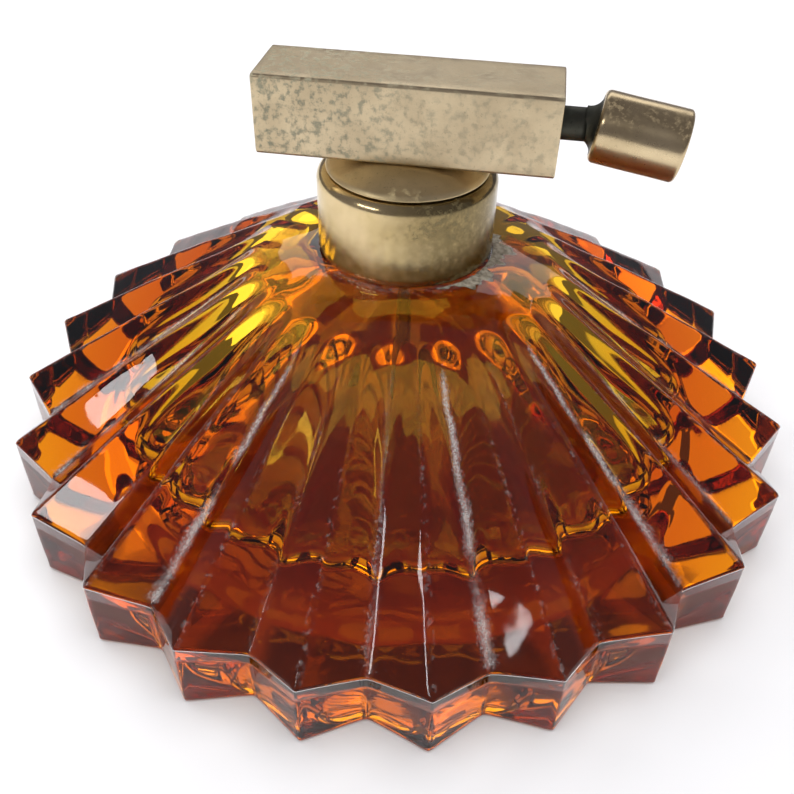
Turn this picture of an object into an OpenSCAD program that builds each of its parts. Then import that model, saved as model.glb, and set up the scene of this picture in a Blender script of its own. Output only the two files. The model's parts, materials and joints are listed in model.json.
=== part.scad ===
// Pump perfume atomiser: a low pleated glass bottle with a screwed-on brass spray head.
// +X runs along the pump housing towards the plunger knob, +Z is up,
// and the origin is the centre of the bottle's base.

/* [Bottle] */
// Radius of the pleat tips at the rim
rim_r = 55; // [50:0.5:60]
// Number of pleats round the bottle
pleats = 24; // [16:1:30]
// Depth of each rim notch, from the pleat tips inwards
notch_depth = 3.9; // [3:0.1:5]
// Height of the upright rim wall at a pleat tip
tip_z = 10.5; // [9:0.1:12]
// Height of the upright rim wall at a notch
notch_z = 8.6; // [7.5:0.1:9]
// Radius where the flutes begin on the shoulder
flute_start_r = 21; // [19:0.5:24]
// Depth of a flute where it begins
flute_start_depth = 0.9; // [0.6:0.1:1.4]
// Height of the shoulder under the collar's edge
shoulder_z = 32.2; // [31:0.1:33]
// Outer radius of the glass neck
neck_r = 9; // [8.9:0.05:9.1]
// Height of the top of the glass neck
neck_top_z = 39.6; // [39:0.1:40]
// Radius of the bore through the neck
mouth_r = 7.4; // [7.2:0.05:7.5]
// Thickness of the glass floor
floor_t = 4.5; // [3.5:0.1:6]

/* [Collar] */
// Outer radius of the collar
collar_r = 11.55; // [11.2:0.05:12]
// Height of the collar's lower edge
collar_z = 32.5; // [32.4:0.1:33]
// Height of the collar's top
collar_top_z = 43.25; // [43:0.05:43.3]
// Radius of the rolled edge at the collar's top
collar_roll = 1.3; // [0.8:0.1:1.6]
// Rise of the collar for one full turn
thread_pitch = 2; // [1.5:0.1:2.5]
// Radius of the disc between the collar and the housing
disc_r = 10.4; // [9.8:0.1:10.8]

/* [Pump housing] */
// Length of the housing
housing_l = 36.2; // [34:0.2:40]
// Width of the housing, front to back
housing_w = 10.5; // [10:0.1:12]
// Height of the housing
housing_h = 9.7; // [9.4:0.1:11]
// Thickness of the housing's walls
housing_t = 0.7; // [0.5:0.1:0.8]
// Height of the housing's underside
housing_z = 45.6; // [45.5:0.1:46]

/* [Plunger] */
// Radius of the plunger's rod
rod_r = 1.95; // [1.6:0.05:2]
// Straight length of rod that shows at rest
rod_gap = 2.6; // [2.4:0.1:4]
// Travel of the plunger
stroke = 2.4; // [1.5:0.1:2.4]
// Length of the flare from the rod to the knob
flare_l = 1.6; // [1:0.1:2]
// Radius of the knob
knob_r = 4.25; // [3.5:0.05:5]
// Length of the knob
knob_l = 10.4; // [8:0.1:13]
// Droop of the bent knob below the rod's axis, in degrees
knob_droop = 7.4; // [0:0.1:9]
// Sideways lean of the bent knob towards the front, in degrees
knob_lean = 5.5; // [0:0.1:8]

/* [Hidden] */
$fn = 96;

brass = [0.78, 0.67, 0.45];
worn_brass = [0.72, 0.65, 0.5];
dark_brass = [0.2, 0.24, 0.2];
amber = [0.62, 0.27, 0.05];
steel = [0.7, 0.7, 0.72];
fine = 0.01; // overlap that keeps cuts clean

// Bottle: slope of the flutes' valley lines, and the size of one flute's V.
pleat_step = 360 / pleats;
first_tip = -3; // turns the pleats so that none lies exactly on +X
notch_r = rim_r - notch_depth;
shoulder_r = collar_r;
dome_fall = 0.08;
dome_bend = 0.0147;
dome_end_r = 29.5;
function dome_z(r) =
    shoulder_z - dome_fall * (r - shoulder_r) - dome_bend * pow(max(r - shoulder_r, 0), 2);
valley_z = dome_z(flute_start_r) - flute_start_depth;
valley_run = notch_r - flute_start_r;
valley_drop = valley_z - notch_z;
valley_tilt = atan(valley_drop / valley_run);
tip_out = rim_r * cos(pleat_step / 2) - notch_r;
vee_half_w = rim_r * sin(pleat_step / 2);
vee_h = tip_out * sin(valley_tilt) + (tip_z - notch_z) * cos(valley_tilt);
vee_scale = 2.2; // the cutting V reaches this far above the glass
crest_slope = (dome_z(dome_end_r) - tip_z - 0.6) / (rim_r - dome_end_r);
base_recess_r = 40;
base_recess_d = 0.8;
cavity_r = 41;
cavity_edge_z = 9;
cavity_roof = 4.6; // glass between a flute's valley line and the cavity
cavity_round = 2.5;
cavity_rise = 4.4; // from the roof over the flutes' start up to the bore
neck_edge = 0.4;

// Neck and collar stack, from the glass outwards.
cement_r = 9.4;
ring_r = 10;
ring_z = 32.9;
ring_below_top = 0.1; // the cemented ring stops just under the glass lip
gasket_t = 1.4;
gasket_in_r = 7.6;
gasket_r = 9.6;
hub_z = neck_top_z + gasket_t;
hub_r = 6.9;
flange_r = 9.8;
flange_t = 1.4;
lip_t = 0.7;
lip_gap = 0.2; // the collar turns freely between the turret's disc and flange
lip_r = hub_r + lip_gap;
shell_t = 0.4;
thread_fit = 0.05;
screw_in_r = ring_r + thread_fit;
screw_z = collar_z + 0.7;
screw_top_z = 40.4;
disc_edge_t = 0.5;
disc_crown_r = 4.6;

// Pump, all on the housing's axis.
housing_edge = 0.35;
axis_z = housing_z + housing_h / 2;
end_x = housing_l / 2;
plate_t = 1.5;
inner_w = housing_w - 2 * housing_t;
inner_h = housing_h - 2 * housing_t;
barrel_r = 4;
barrel_bore_r = 3.25;
barrel_x = [-5, -2.5, 14.4]; // closed end, end of the bore, open end
spigot_r = 1.6;
spigot_l = 1.2;
port_r = 0.6;
tube_r = 2.6;
nozzle_r = 2.2;
core_x = -12;
nozzle_x = -15.6;
jet_r = 0.15;
dish_r = 1.5;
dish_l = 0.9;
whirl_r = 0.8;
whirl_l = 0.5;
gland_r = 3;
gland_flange_r = 3.7;
run_fit = 0.05;
seal_fit = 0.03;
outlet_ball_r = 0.9;
outlet_seat_gap = 0.02;
outlet_reach = sqrt(pow(outlet_ball_r, 2) - pow(port_r, 2)); // ball centre from its seat
outlet_seat_x = barrel_x[0] - spigot_l;
outlet_wire_r = 0.12;
outlet_coil_r = 0.75;
return_wire_r = 0.22;
return_coil_r = 2.2;
coil_clear = 0.02; // between a coil's ends and what they press on

// Siphon: a hollow bolt, the valve seat under it and the dip tube.
stem_r = 1.7;
stem_top_z = 47.15;
stem_head_r = 3.1;
stem_head_h = 2.2;
stem_bore_r = 0.7;
chamber_r = 1.25;
chamber_top_z = 43.6;
inlet_ball_r = 0.9;
inlet_seat_gap = 0.02;
seat_plug_h = 0.6;
seat_cone_h = 0.5;
seat_cone_r = 1.1;
seat_port_r = 0.4;
seat_flange_r = 2.4;
seat_flange_t = 0.5;
nipple_r = 0.7;
nipple_l = 3.4;
dip_r = 1.2;
dip_bottom_z = floor_t + 1.2;
dip_slant = 25;

// Plunger, at rest on its stop in the gland.
piston_x = [11, 14.3];
piston_l = 2.3;
collar_clear = 0.2; // of the rod's stop collar inside the bore
cup_l = 2;
cup_wall = 0.5;
cup_floor = 0.6;
nut_r = 1.7;
nut_l = 1;
tail_r = 0.9;
tail_x = piston_x[0] - cup_floor - nut_l;
flare_r = 3.5;
knob_edge = 0.7;
knob_x = end_x + rod_gap + flare_l;
knob_spigot_r = 1.6;
knob_spigot_l = 6.5;

// ---------- shared shapes ----------

// A ring about Z from z0 to z1.
module ring(r_out, r_in, z0, z1) {
    translate([0, 0, z0]) difference() {
        cylinder(r = r_out, h = z1 - z0);
        translate([0, 0, -fine]) cylinder(r = r_in, h = z1 - z0 + 2 * fine);
    }
}

// A round bar about the pump's axis from x0 to x1.
module axle(r, x0, x1) {
    translate([x0, 0, axis_z]) rotate([0, 90, 0]) cylinder(r = r, h = x1 - x0);
}

// A tube about the pump's axis from x0 to x1.
module tube(r_out, r_in, x0, x1) {
    difference() {
        axle(r_out, x0, x1);
        axle(r_in, x0 - fine, x1 + fine);
    }
}

// A rectangle with true round corners.
module soft_rect(w, h, r) {
    square([w - 2 * r, h], center = true);
    square([w, h - 2 * r], center = true);
    for (x = [-1, 1], y = [-1, 1])
        translate([x * (w / 2 - r), y * (h / 2 - r)]) circle(r = r);
}

// A solid wire swept along points, with one polygon ring for each point.
module wire(points, r, sides) {
    last = len(points) - 1;
    rings = [for (i = [0:last])
        let (a = points[max(i - 1, 0)], b = points[min(i + 1, last)],
            t = (b - a) / norm(b - a),
            side = cross(t, [1, 0, 0]) / norm(cross(t, [1, 0, 0])),
            over = cross(side, t))
        for (k = [0:sides - 1])
            let (ang = 360 * k / sides)
            points[i] + r * (cos(ang) * side + sin(ang) * over)];
    walls = [for (i = [0:last - 1], k = [0:sides - 1])
        [i * sides + k, (i + 1) * sides + k,
            (i + 1) * sides + (k + 1) % sides, i * sides + (k + 1) % sides]];
    start_cap = [[for (k = [0:sides - 1]) k]];
    end_cap = [[for (k = [sides - 1:-1:0]) last * sides + k]];
    polyhedron(rings, concat(walls, start_cap, end_cap));
}

// A coil spring's centre line about the pump's axis.
function coil(x0, x1, r, turns, steps) =
    [for (i = [0:turns * steps])
        let (a = 360 * i / steps)
        [x0 + (x1 - x0) * i / (turns * steps), r * cos(a), axis_z + r * sin(a)]];

// ---------- bottle ----------

// Outline of the pleated rim, tip and notch in turn.
module rim_outline() {
    polygon([for (i = [0:pleats - 1], k = [0, 1])
        let (a = first_tip + (i + k / 2) * pleat_step, r = k == 0 ? rim_r : notch_r)
        [r * cos(a), r * sin(a)]]);
}

// The shoulder's smooth dome, with the neck on top.
module dome() {
    steps = 12;
    rotate_extrude($fn = 180) polygon(concat(
        [[0, 0], [rim_r + 2, 0], [rim_r + 2, dome_z(dome_end_r) - crest_slope * (rim_r + 2 - dome_end_r)]],
        [for (i = [steps:-1:0])
            let (r = neck_r + (dome_end_r - neck_r) * i / steps)
            [r, dome_z(r)]],
        [[neck_r, neck_top_z - neck_edge], [neck_r - neck_edge, neck_top_z], [0, neck_top_z]]));
}

// One V-shaped flute, cut down along its valley line.
module flute() {
    reach = valley_run / cos(valley_tilt) + 12;
    translate([flute_start_r, 0, valley_z]) rotate([0, valley_tilt, 0])
        rotate([90, 0, 90]) linear_extrude(reach)
            polygon([[0, 0], [vee_half_w * vee_scale, vee_h * vee_scale],
                [-vee_half_w * vee_scale, vee_h * vee_scale]]);
}

// Hollow that holds the perfume, with the bore through the neck.
module cavity() {
    roof_z = valley_z - cavity_roof;
    span = flute_start_r - mouth_r;
    arc = 8;
    rotate_extrude($fn = 120) polygon(concat(
        [[0, floor_t], [cavity_r - cavity_round, floor_t]],
        [for (i = [1:arc])
            let (a = -90 + 90 * i / arc)
            [cavity_r - cavity_round + cavity_round * cos(a),
                floor_t + cavity_round + cavity_round * sin(a)]],
        [[cavity_r, cavity_edge_z]],
        [for (i = [arc:-1:0])
            let (u = i / arc)
            [mouth_r + span * u * u, roof_z + cavity_rise * (1 - u)]],
        [[mouth_r, neck_top_z + 1], [0, neck_top_z + 1]]));
}

module bottle() {
    color(amber) difference() {
        intersection() {
            dome();
            linear_extrude(neck_top_z) rim_outline();
        }
        for (i = [0:pleats - 1])
            rotate([0, 0, first_tip + (i + 0.5) * pleat_step]) flute();
        cavity();
        translate([0, 0, -fine]) cylinder(r = base_recess_r, h = base_recess_d + fine);
    }
}

// ---------- neck, collar and turret ----------

module neck_cement() {
    color([0.85, 0.82, 0.75]) ring(cement_r, neck_r, ring_z, neck_top_z - neck_edge);
}

module neck_ring() {
    color(dark_brass) ring(ring_r, cement_r, ring_z, neck_top_z - ring_below_top);
}

module neck_gasket() {
    color([0.55, 0.42, 0.28]) ring(gasket_r, gasket_in_r, neck_top_z, hub_z);
}

// Spun shell with a rolled top edge and a lip that the turret turns in.
module collar_shell() {
    inner_r = collar_r - shell_t;
    inner_roll = collar_roll - shell_t;
    arc = 8;
    color(brass) rotate_extrude($fn = 120) polygon(concat(
        [[inner_r, collar_z], [collar_r, collar_z]],
        [for (i = [0:arc])
            let (a = 90 * i / arc)
            [collar_r - collar_roll + collar_roll * cos(a),
                collar_top_z - collar_roll + collar_roll * sin(a)]],
        [[lip_r, collar_top_z], [lip_r, collar_top_z - lip_t]],
        [for (i = [arc:-1:0])
            let (a = 90 * i / arc)
            [inner_r - inner_roll + inner_roll * cos(a),
                collar_top_z - lip_t - inner_roll + inner_roll * sin(a)]]));
}

module screw_ring() {
    color(dark_brass) ring(collar_r - shell_t, screw_in_r, screw_z, screw_top_z);
}

// Disc with a low dome that carries the housing, and the hub below it.
module turret_disc() {
    disc_z = collar_top_z + lip_gap;
    brim_z = disc_z + disc_edge_t;
    steps = 6;
    color(brass) difference() {
        rotate_extrude() polygon(concat(
            [[stem_r, hub_z], [hub_r, hub_z], [hub_r, disc_z], [disc_r, disc_z],
                [disc_r, brim_z]],
            [for (i = [1:steps])
                let (u = i / steps)
                [disc_r - (disc_r - disc_crown_r) * u,
                    brim_z + (housing_z - brim_z) * sin(90 * u)]],
            [[stem_r, housing_z]]));
        translate([0, 0, hub_z - fine])
            cylinder(r = stem_head_r, h = stem_head_h + fine);
    }
}

module clamp_flange() {
    color(dark_brass) ring(flange_r, hub_r, hub_z, hub_z + flange_t);
}

// ---------- housing and its end plates ----------

module housing() {
    color(worn_brass) difference() {
        translate([-end_x, 0, axis_z]) rotate([90, 0, 90])
            linear_extrude(housing_l) difference() {
                soft_rect(housing_w, housing_h, housing_edge);
                square([inner_w, inner_h], center = true);
            }
        translate([0, 0, housing_z - 1]) cylinder(r = stem_r, h = housing_t + 2);
    }
}

// Plate that closes one end of the housing, from x0 to x1, with a round hole.
module end_plate(x0, x1, hole_r) {
    difference() {
        translate([x0, -inner_w / 2, axis_z - inner_h / 2]) cube([x1 - x0, inner_w, inner_h]);
        axle(hole_r, x0 - 1, x1 + 1);
    }
}

module nozzle_plate() {
    color(brass) end_plate(-end_x, -end_x + plate_t, nozzle_r);
}

module gland_plate() {
    color(brass) end_plate(end_x - plate_t, end_x, gland_r);
}

// Bush that guides the rod and stops the piston.
module rod_gland() {
    color(dark_brass) difference() {
        union() {
            axle(gland_r, barrel_x[2], end_x);
            axle(gland_flange_r, barrel_x[2], end_x - plate_t);
        }
        axle(rod_r + run_fit, barrel_x[2] - 1, end_x + 1);
    }
}

// ---------- pump ----------

module pump_barrel() {
    color(brass) difference() {
        union() {
            axle(barrel_r, barrel_x[0], barrel_x[2]);
            axle(spigot_r, barrel_x[0] - spigot_l, barrel_x[0] + fine);
        }
        axle(barrel_bore_r, barrel_x[1], barrel_x[2] + fine);
        axle(port_r, barrel_x[0] - spigot_l - 1, barrel_x[1] + fine);
        translate([0, 0, axis_z - barrel_r - 1])
            cylinder(r = stem_r, h = stem_top_z - axis_z + barrel_r + 1);
        translate([0, 0, stem_top_z - fine]) cylinder(r = stem_bore_r, h = 1);
    }
}

module nozzle_tube() {
    color(brass) tube(tube_r, spigot_r, -end_x + plate_t, barrel_x[0]);
}

// Spray nozzle: a fine jet that opens into a dish flush with the end plate.
module nozzle() {
    color(brass) difference() {
        union() {
            axle(nozzle_r, -end_x, -end_x + plate_t);
            axle(spigot_r, -end_x + plate_t - fine, nozzle_x);
        }
        axle(jet_r, -end_x - 1, nozzle_x + 1);
        axle(whirl_r, nozzle_x - whirl_l, nozzle_x + 1);
        translate([-end_x - fine, 0, axis_z]) rotate([0, 90, 0])
            cylinder(r1 = dish_r, r2 = jet_r, h = dish_l);
    }
}

// Core with three grooves that set the spray spinning.
module swirl_core() {
    groove = 0.5;
    color(steel) difference() {
        axle(spigot_r, nozzle_x, core_x);
        for (i = [0:2])
            translate([nozzle_x - 1, 0, axis_z]) rotate([120 * i, 0, 0])
                translate([0, -groove / 2, spigot_r - groove])
                    cube([core_x - nozzle_x + 2, groove, groove + 1]);
    }
}

module outlet_ball() {
    color(steel) translate([outlet_seat_x - outlet_reach - outlet_seat_gap, 0, axis_z])
        sphere(r = outlet_ball_r, $fn = 48);
}

module outlet_spring() {
    ball_end_x = outlet_seat_x - outlet_reach - outlet_seat_gap - outlet_ball_r;
    turns = 5;
    color(steel) wire(coil(core_x + outlet_wire_r + coil_clear,
        ball_end_x - outlet_wire_r - coil_clear, outlet_coil_r, turns, 12), outlet_wire_r, 6);
}

// ---------- siphon ----------

// Hollow bolt that holds the turret to the housing and carries the inlet valve.
module siphon_stem() {
    color(brass) difference() {
        union() {
            translate([0, 0, hub_z]) cylinder(r = stem_r, h = stem_top_z - hub_z);
            translate([0, 0, hub_z]) cylinder(r = stem_head_r, h = stem_head_h);
        }
        translate([0, 0, hub_z - 1]) cylinder(r = chamber_r, h = chamber_top_z - hub_z + 1);
        translate([0, 0, hub_z]) cylinder(r = stem_bore_r, h = stem_top_z - hub_z + 1);
    }
}

// Plug with a conical seat on top and a nipple for the dip tube below.
module valve_seat() {
    flange_z = hub_z - seat_flange_t;
    top_z = hub_z + seat_plug_h;
    color(brass) difference() {
        union() {
            translate([0, 0, hub_z - fine]) cylinder(r = chamber_r, h = seat_plug_h + fine);
            translate([0, 0, flange_z]) cylinder(r = seat_flange_r, h = seat_flange_t);
            translate([0, 0, flange_z - nipple_l]) cylinder(r = nipple_r, h = nipple_l + fine);
        }
        translate([0, 0, flange_z - nipple_l - 1])
            cylinder(r = seat_port_r, h = nipple_l + seat_flange_t + seat_plug_h + 1);
        translate([0, 0, top_z - seat_cone_h])
            cylinder(r1 = seat_port_r, r2 = seat_cone_r, h = seat_cone_h + fine);
    }
}

// Ball that rests in the cone, just clear of it.
module inlet_ball() {
    cone_half_angle = atan((seat_cone_r - seat_port_r) / seat_cone_h);
    apex_z = hub_z + seat_plug_h - seat_cone_r / tan(cone_half_angle);
    rest_z = apex_z + inlet_ball_r / sin(cone_half_angle) + inlet_seat_gap;
    color(steel) translate([0, 0, rest_z]) sphere(r = inlet_ball_r, $fn = 48);
}

// Tube down to the bottle's floor, with a slanted end.
module dip_tube() {
    top_z = hub_z - seat_flange_t;
    color([0.9, 0.88, 0.8]) difference() {
        translate([0, 0, dip_bottom_z]) cylinder(r = dip_r, h = top_z - dip_bottom_z);
        translate([0, 0, dip_bottom_z - 1]) cylinder(r = nipple_r, h = top_z - dip_bottom_z + 2);
        translate([0, 0, dip_bottom_z + dip_r * tan(dip_slant)]) rotate([0, dip_slant, 0])
            translate([-2 * dip_r, -2 * dip_r, -4 * dip_r]) cube(4 * dip_r);
    }
}

// ---------- plunger ----------

module piston() {
    color(brass) tube(barrel_bore_r - run_fit, tail_r, piston_x[0], piston_x[0] + piston_l);
}

// Cupped leather that seals the bore, open towards the outlet.
module cup_seal() {
    seal_r = barrel_bore_r - seal_fit;
    color([0.35, 0.22, 0.12]) difference() {
        axle(seal_r, piston_x[0] - cup_l, piston_x[0]);
        axle(seal_r - cup_wall, piston_x[0] - cup_l - 1, piston_x[0] - cup_floor);
        axle(tail_r, piston_x[0] - cup_l - 1, piston_x[0] + 1);
    }
}

module cup_nut() {
    color(brass) tube(nut_r, tail_r, tail_x, tail_x + nut_l);
}

module return_spring() {
    turns = 8;
    color(steel) wire(coil(barrel_x[1] + return_wire_r + coil_clear,
        piston_x[0] - cup_floor - return_wire_r - coil_clear, return_coil_r, turns, 16),
        return_wire_r, 8);
}

// Places a shape drawn about +X from the origin on the bent end of the rod.
module on_bent_end() {
    translate([knob_x, 0, axis_z]) rotate([0, knob_droop, -knob_lean]) children();
}

// Rod with its thin tail through the piston, its stop collar, and the flared end.
module plunger_rod() {
    steps = 8;
    stop_x = piston_x[0] + piston_l;
    color(dark_brass) union() {
        axle(tail_r, tail_x, stop_x + fine);
        axle(barrel_bore_r - collar_clear, stop_x, piston_x[1]);
        axle(rod_r, piston_x[1] - fine, knob_x - flare_l / 2);
        on_bent_end() rotate([0, 90, 0]) rotate_extrude() polygon(concat(
            [[0, -flare_l], [rod_r, -flare_l]],
            [for (i = [1:steps])
                let (a = 90 * i / steps)
                [rod_r + (flare_r - rod_r) * (1 - cos(a)), -flare_l + flare_l * sin(a)]],
            [[flare_r, 0], [knob_spigot_r, 0], [knob_spigot_r, knob_spigot_l],
                [0, knob_spigot_l]]));
    }
}

// Turned knob with softened rims and a blind hole for the rod's spigot.
module knob() {
    arc = 6;
    color(brass) on_bent_end() rotate([0, 90, 0]) rotate_extrude() polygon(concat(
        [[knob_spigot_r, 0]],
        [for (i = [0:arc])
            let (a = -90 + 90 * i / arc)
            [knob_r - knob_edge + knob_edge * cos(a), knob_edge + knob_edge * sin(a)]],
        [for (i = [0:arc])
            let (a = 90 * i / arc)
            [knob_r - knob_edge + knob_edge * cos(a), knob_l - knob_edge + knob_edge * sin(a)]],
        [[0, knob_l], [0, knob_spigot_l], [knob_spigot_r, knob_spigot_l]]));
}

bottle();
neck_cement();
neck_ring();
neck_gasket();
collar_shell();
screw_ring();
turret_disc();
clamp_flange();
housing();
nozzle_plate();
gland_plate();
rod_gland();
pump_barrel();
nozzle_tube();
nozzle();
swirl_core();
outlet_ball();
outlet_spring();
siphon_stem();
valve_seat();
inlet_ball();
dip_tube();
piston();
cup_seal();
cup_nut();
return_spring();
plunger_rod();
knob();
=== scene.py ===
"""Looks of the perfume atomiser: pleated amber glass, worn brass, studio light."""
import json
import math

import bmesh
import bpy
import numpy as np
from mathutils import Matrix, Vector


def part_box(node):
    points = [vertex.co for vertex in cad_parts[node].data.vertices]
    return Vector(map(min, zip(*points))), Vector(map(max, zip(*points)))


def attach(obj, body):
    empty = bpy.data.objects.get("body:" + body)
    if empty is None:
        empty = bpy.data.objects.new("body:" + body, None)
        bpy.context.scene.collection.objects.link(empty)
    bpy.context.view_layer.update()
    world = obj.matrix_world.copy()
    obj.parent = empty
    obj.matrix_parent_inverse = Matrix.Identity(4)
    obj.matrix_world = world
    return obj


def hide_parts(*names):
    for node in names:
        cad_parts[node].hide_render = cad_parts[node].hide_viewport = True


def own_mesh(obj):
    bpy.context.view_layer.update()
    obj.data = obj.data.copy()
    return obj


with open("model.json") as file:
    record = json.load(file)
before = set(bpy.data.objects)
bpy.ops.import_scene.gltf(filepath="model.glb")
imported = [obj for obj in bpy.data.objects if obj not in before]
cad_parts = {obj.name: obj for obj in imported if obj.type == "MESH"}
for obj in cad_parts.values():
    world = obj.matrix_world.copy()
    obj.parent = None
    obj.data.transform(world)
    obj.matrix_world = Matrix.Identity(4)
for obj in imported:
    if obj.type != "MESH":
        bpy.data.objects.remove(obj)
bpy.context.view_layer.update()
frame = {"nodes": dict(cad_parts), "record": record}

MM = 0.001

# ---------- places, read from the frame ----------

bottle_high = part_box("bottle")[1]
housing_low, housing_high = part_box("housing")
collar_low, collar_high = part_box("collar_shell")
disc_low, disc_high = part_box("turret_disc")
ring_low, ring_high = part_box("neck_ring")
screw_low, screw_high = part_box("screw_ring")

# ---------- bottle sizes, in metres ----------

PLEATS = 24
STEP = 2 * math.pi / PLEATS
FIRST_TIP = math.radians(-3)
TIP_R = bottle_high.x / math.cos(FIRST_TIP)
NOTCH_R = TIP_R - 3.9 * MM
TIP_Z = 10.5 * MM
NOTCH_Z = 8.6 * MM
FLUTE_START = 21 * MM
FLUTE_DEPTH = 0.9 * MM
SHOULDER_R = collar_high.x
SHOULDER_Z = 32.2 * MM
NECK_R = 9 * MM
MOUTH_R = 7.4 * MM
NECK_TOP = bottle_high.z
FLOOR_T = 4.5 * MM
RECESS_R = 40 * MM
RECESS_D = 0.8 * MM
CAVITY_R = 41 * MM
NOSE_L = 10 * MM
NOSE_RISE = 1.7 * MM
BOTTOM_SOFT = 0.45 * MM
EDGE_SOFT = 0.35 * MM
LIP_SOFT = 0.4 * MM


def dome_height(r):
    """Height of the shoulder's dome at radius r."""
    fall = np.maximum(r - SHOULDER_R, 0)
    return SHOULDER_Z - 0.08 * (r - SHOULDER_R) - 14.7 * fall**2


DOME_END = 29.5 * MM
VALLEY_Z = float(dome_height(np.array(FLUTE_START))) - FLUTE_DEPTH
VALLEY_SLOPE = (VALLEY_Z - NOTCH_Z) / (NOTCH_R - FLUTE_START)
TIP_U = TIP_R * math.cos(STEP / 2)
TIP_V = TIP_R * math.sin(STEP / 2)
WALL_SLOPE = (TIP_Z - (NOTCH_Z - (TIP_U - NOTCH_R) * VALLEY_SLOPE)) / TIP_V
OUTLINE_SLOPE = (TIP_U - NOTCH_R) / TIP_V
DOME_OUT_SLOPE = 0.604


def smooth_min(a, b, k):
    """The lower of a and b, with a rounded change-over about k high."""
    h = np.maximum(k - np.abs(a - b), 0) / k
    return np.minimum(a, b) - h * h * k / 4


def blend_step(x, low, high):
    """0 below low, 1 above high, smooth between."""
    t = np.clip((x - low) / (high - low), 0, 1)
    return t * t * (3 - 2 * t)


def full_dome(r):
    """The dome, carried on as a straight cone beyond DOME_END."""
    inner = dome_height(np.minimum(r, DOME_END))
    return inner - DOME_OUT_SLOPE * np.maximum(r - DOME_END, 0)


def flute_height(r, phi):
    """Height of one flute's surface at radius r and angle phi from its valley."""
    u, v = r * np.cos(phi), r * np.sin(phi)
    near_nose = 1 - blend_step(r, FLUTE_START, FLUTE_START + NOSE_L)
    behind = NOSE_RISE * (np.maximum(FLUTE_START + NOSE_L - u, 0) / NOSE_L) ** 2
    away = np.sqrt(behind**2 + v**2)
    soft = (1.5 - 1.2 * blend_step(r, 23 * MM, 36 * MM)) * MM
    valley = VALLEY_Z - VALLEY_SLOPE * (u - FLUTE_START)
    slope = WALL_SLOPE * (1 + 0.1 * near_nose)
    return valley + slope * (np.sqrt(away**2 + soft**2) - 0.85 * soft)


def nearest_flute(theta):
    """Signed angle from the nearest valley, in -STEP/2 .. STEP/2."""
    turns = (theta - FIRST_TIP - STEP / 2) / STEP
    return (turns - np.round(turns)) * STEP


def pressed_ripple(x, y):
    """Slow unevenness of pressed glass, a few hundredths of a millimetre."""
    return 0.035 * MM * (
        np.sin(x / MM * 0.31 + 1.3) * np.cos(y / MM * 0.27 - 0.4)
        + 0.6 * np.sin(x / MM * 0.73 - y / MM * 0.51)
        + 0.5 * np.cos(y / MM * 0.94 + x / MM * 0.38)
        + 0.16 * np.sin(x / MM * 2.1 + np.sin(y / MM * 0.8)) * np.cos(y / MM * 1.7 + 0.6)
    )


def next_flute(phi):
    """Angle from the second nearest valley, given the angle from the nearest."""
    return phi - np.where(phi >= 0, STEP, -STEP)


def top_height(r, theta):
    """Height of the glass's upper surface."""
    phi = nearest_flute(theta)
    beside = next_flute(phi)
    crest_k = (0.9 - 0.35 * blend_step(r, 24 * MM, 44 * MM)) * MM
    flutes = smooth_min(flute_height(r, phi), flute_height(r, beside), crest_k)
    edge_k = (0.75 - 0.50 * blend_step(r, 22 * MM, 34 * MM)) * MM
    ripple = pressed_ripple(r * np.cos(theta), r * np.sin(theta))
    ripple = ripple * blend_step(r, 12 * MM, 16 * MM)
    return smooth_min(full_dome(r), flutes, edge_k) + ripple


def outline_radius(theta, inset):
    """Radius of the pleated outline, inset metres inside it."""
    phi = nearest_flute(theta)
    beside = next_flute(phi)
    grow = math.sqrt(1 + OUTLINE_SLOPE**2)

    def over(r, angle):
        u, v = r * np.cos(angle), r * np.sin(angle)
        notch_soft = 0.35 * MM
        side = np.sqrt(v**2 + notch_soft**2) - 0.5 * notch_soft
        return u - NOTCH_R - OUTLINE_SLOPE * side + inset * grow

    low = np.full_like(theta, NOTCH_R - 6 * MM)
    high = np.full_like(theta, TIP_R + 1 * MM)
    for _ in range(40):
        mid = (low + high) / 2
        outside = -smooth_min(-over(mid, phi), -over(mid, beside), 0.3 * MM) > 0
        high = np.where(outside, mid, high)
        low = np.where(outside, low, mid)
    return (low + high) / 2


# ---------- mesh helpers ----------


def piece_from(name, verts, faces, material):
    """A smooth-shaded mesh object with one material."""
    mesh = bpy.data.meshes.new(name)
    mesh.from_pydata([tuple(v) for v in verts], [], faces)
    mesh.update()
    mesh.validate()
    for poly in mesh.polygons:
        poly.use_smooth = True
    piece = bpy.data.objects.new(name, mesh)
    bpy.context.scene.collection.objects.link(piece)
    piece.data.materials.append(material)
    return piece


def rows_to_mesh(rows, start=None, end=None):
    """Quads over rows of points that close on themselves; start and end are poles."""
    count = len(rows[0])
    verts = [p for row in rows for p in row]
    faces = []
    for i in range(len(rows) - 1):
        a, b = i * count, (i + 1) * count
        faces += [(a + j, a + (j + 1) % count, b + (j + 1) % count, b + j) for j in range(count)]
    if start is not None:
        pole = len(verts)
        verts.append(start)
        faces += [(pole, (j + 1) % count, j) for j in range(count)]
    if end is not None:
        pole, a = len(verts), (len(rows) - 1) * count
        verts.append(end)
        faces += [(a + j, a + (j + 1) % count, pole) for j in range(count)]
    return verts, faces


def between(a, b, t):
    """The point t of the way from a to b."""
    return (a[0] + (b[0] - a[0]) * t, a[1] + (b[1] - a[1]) * t)


def arc(cx, cy, r, a0, a1, steps):
    """Points of an arc, angles in degrees, both ends included."""
    span = [math.radians(a0 + (a1 - a0) * i / steps) for i in range(steps + 1)]
    return [(cx + r * math.cos(a), cy + r * math.sin(a)) for a in span]


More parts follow.
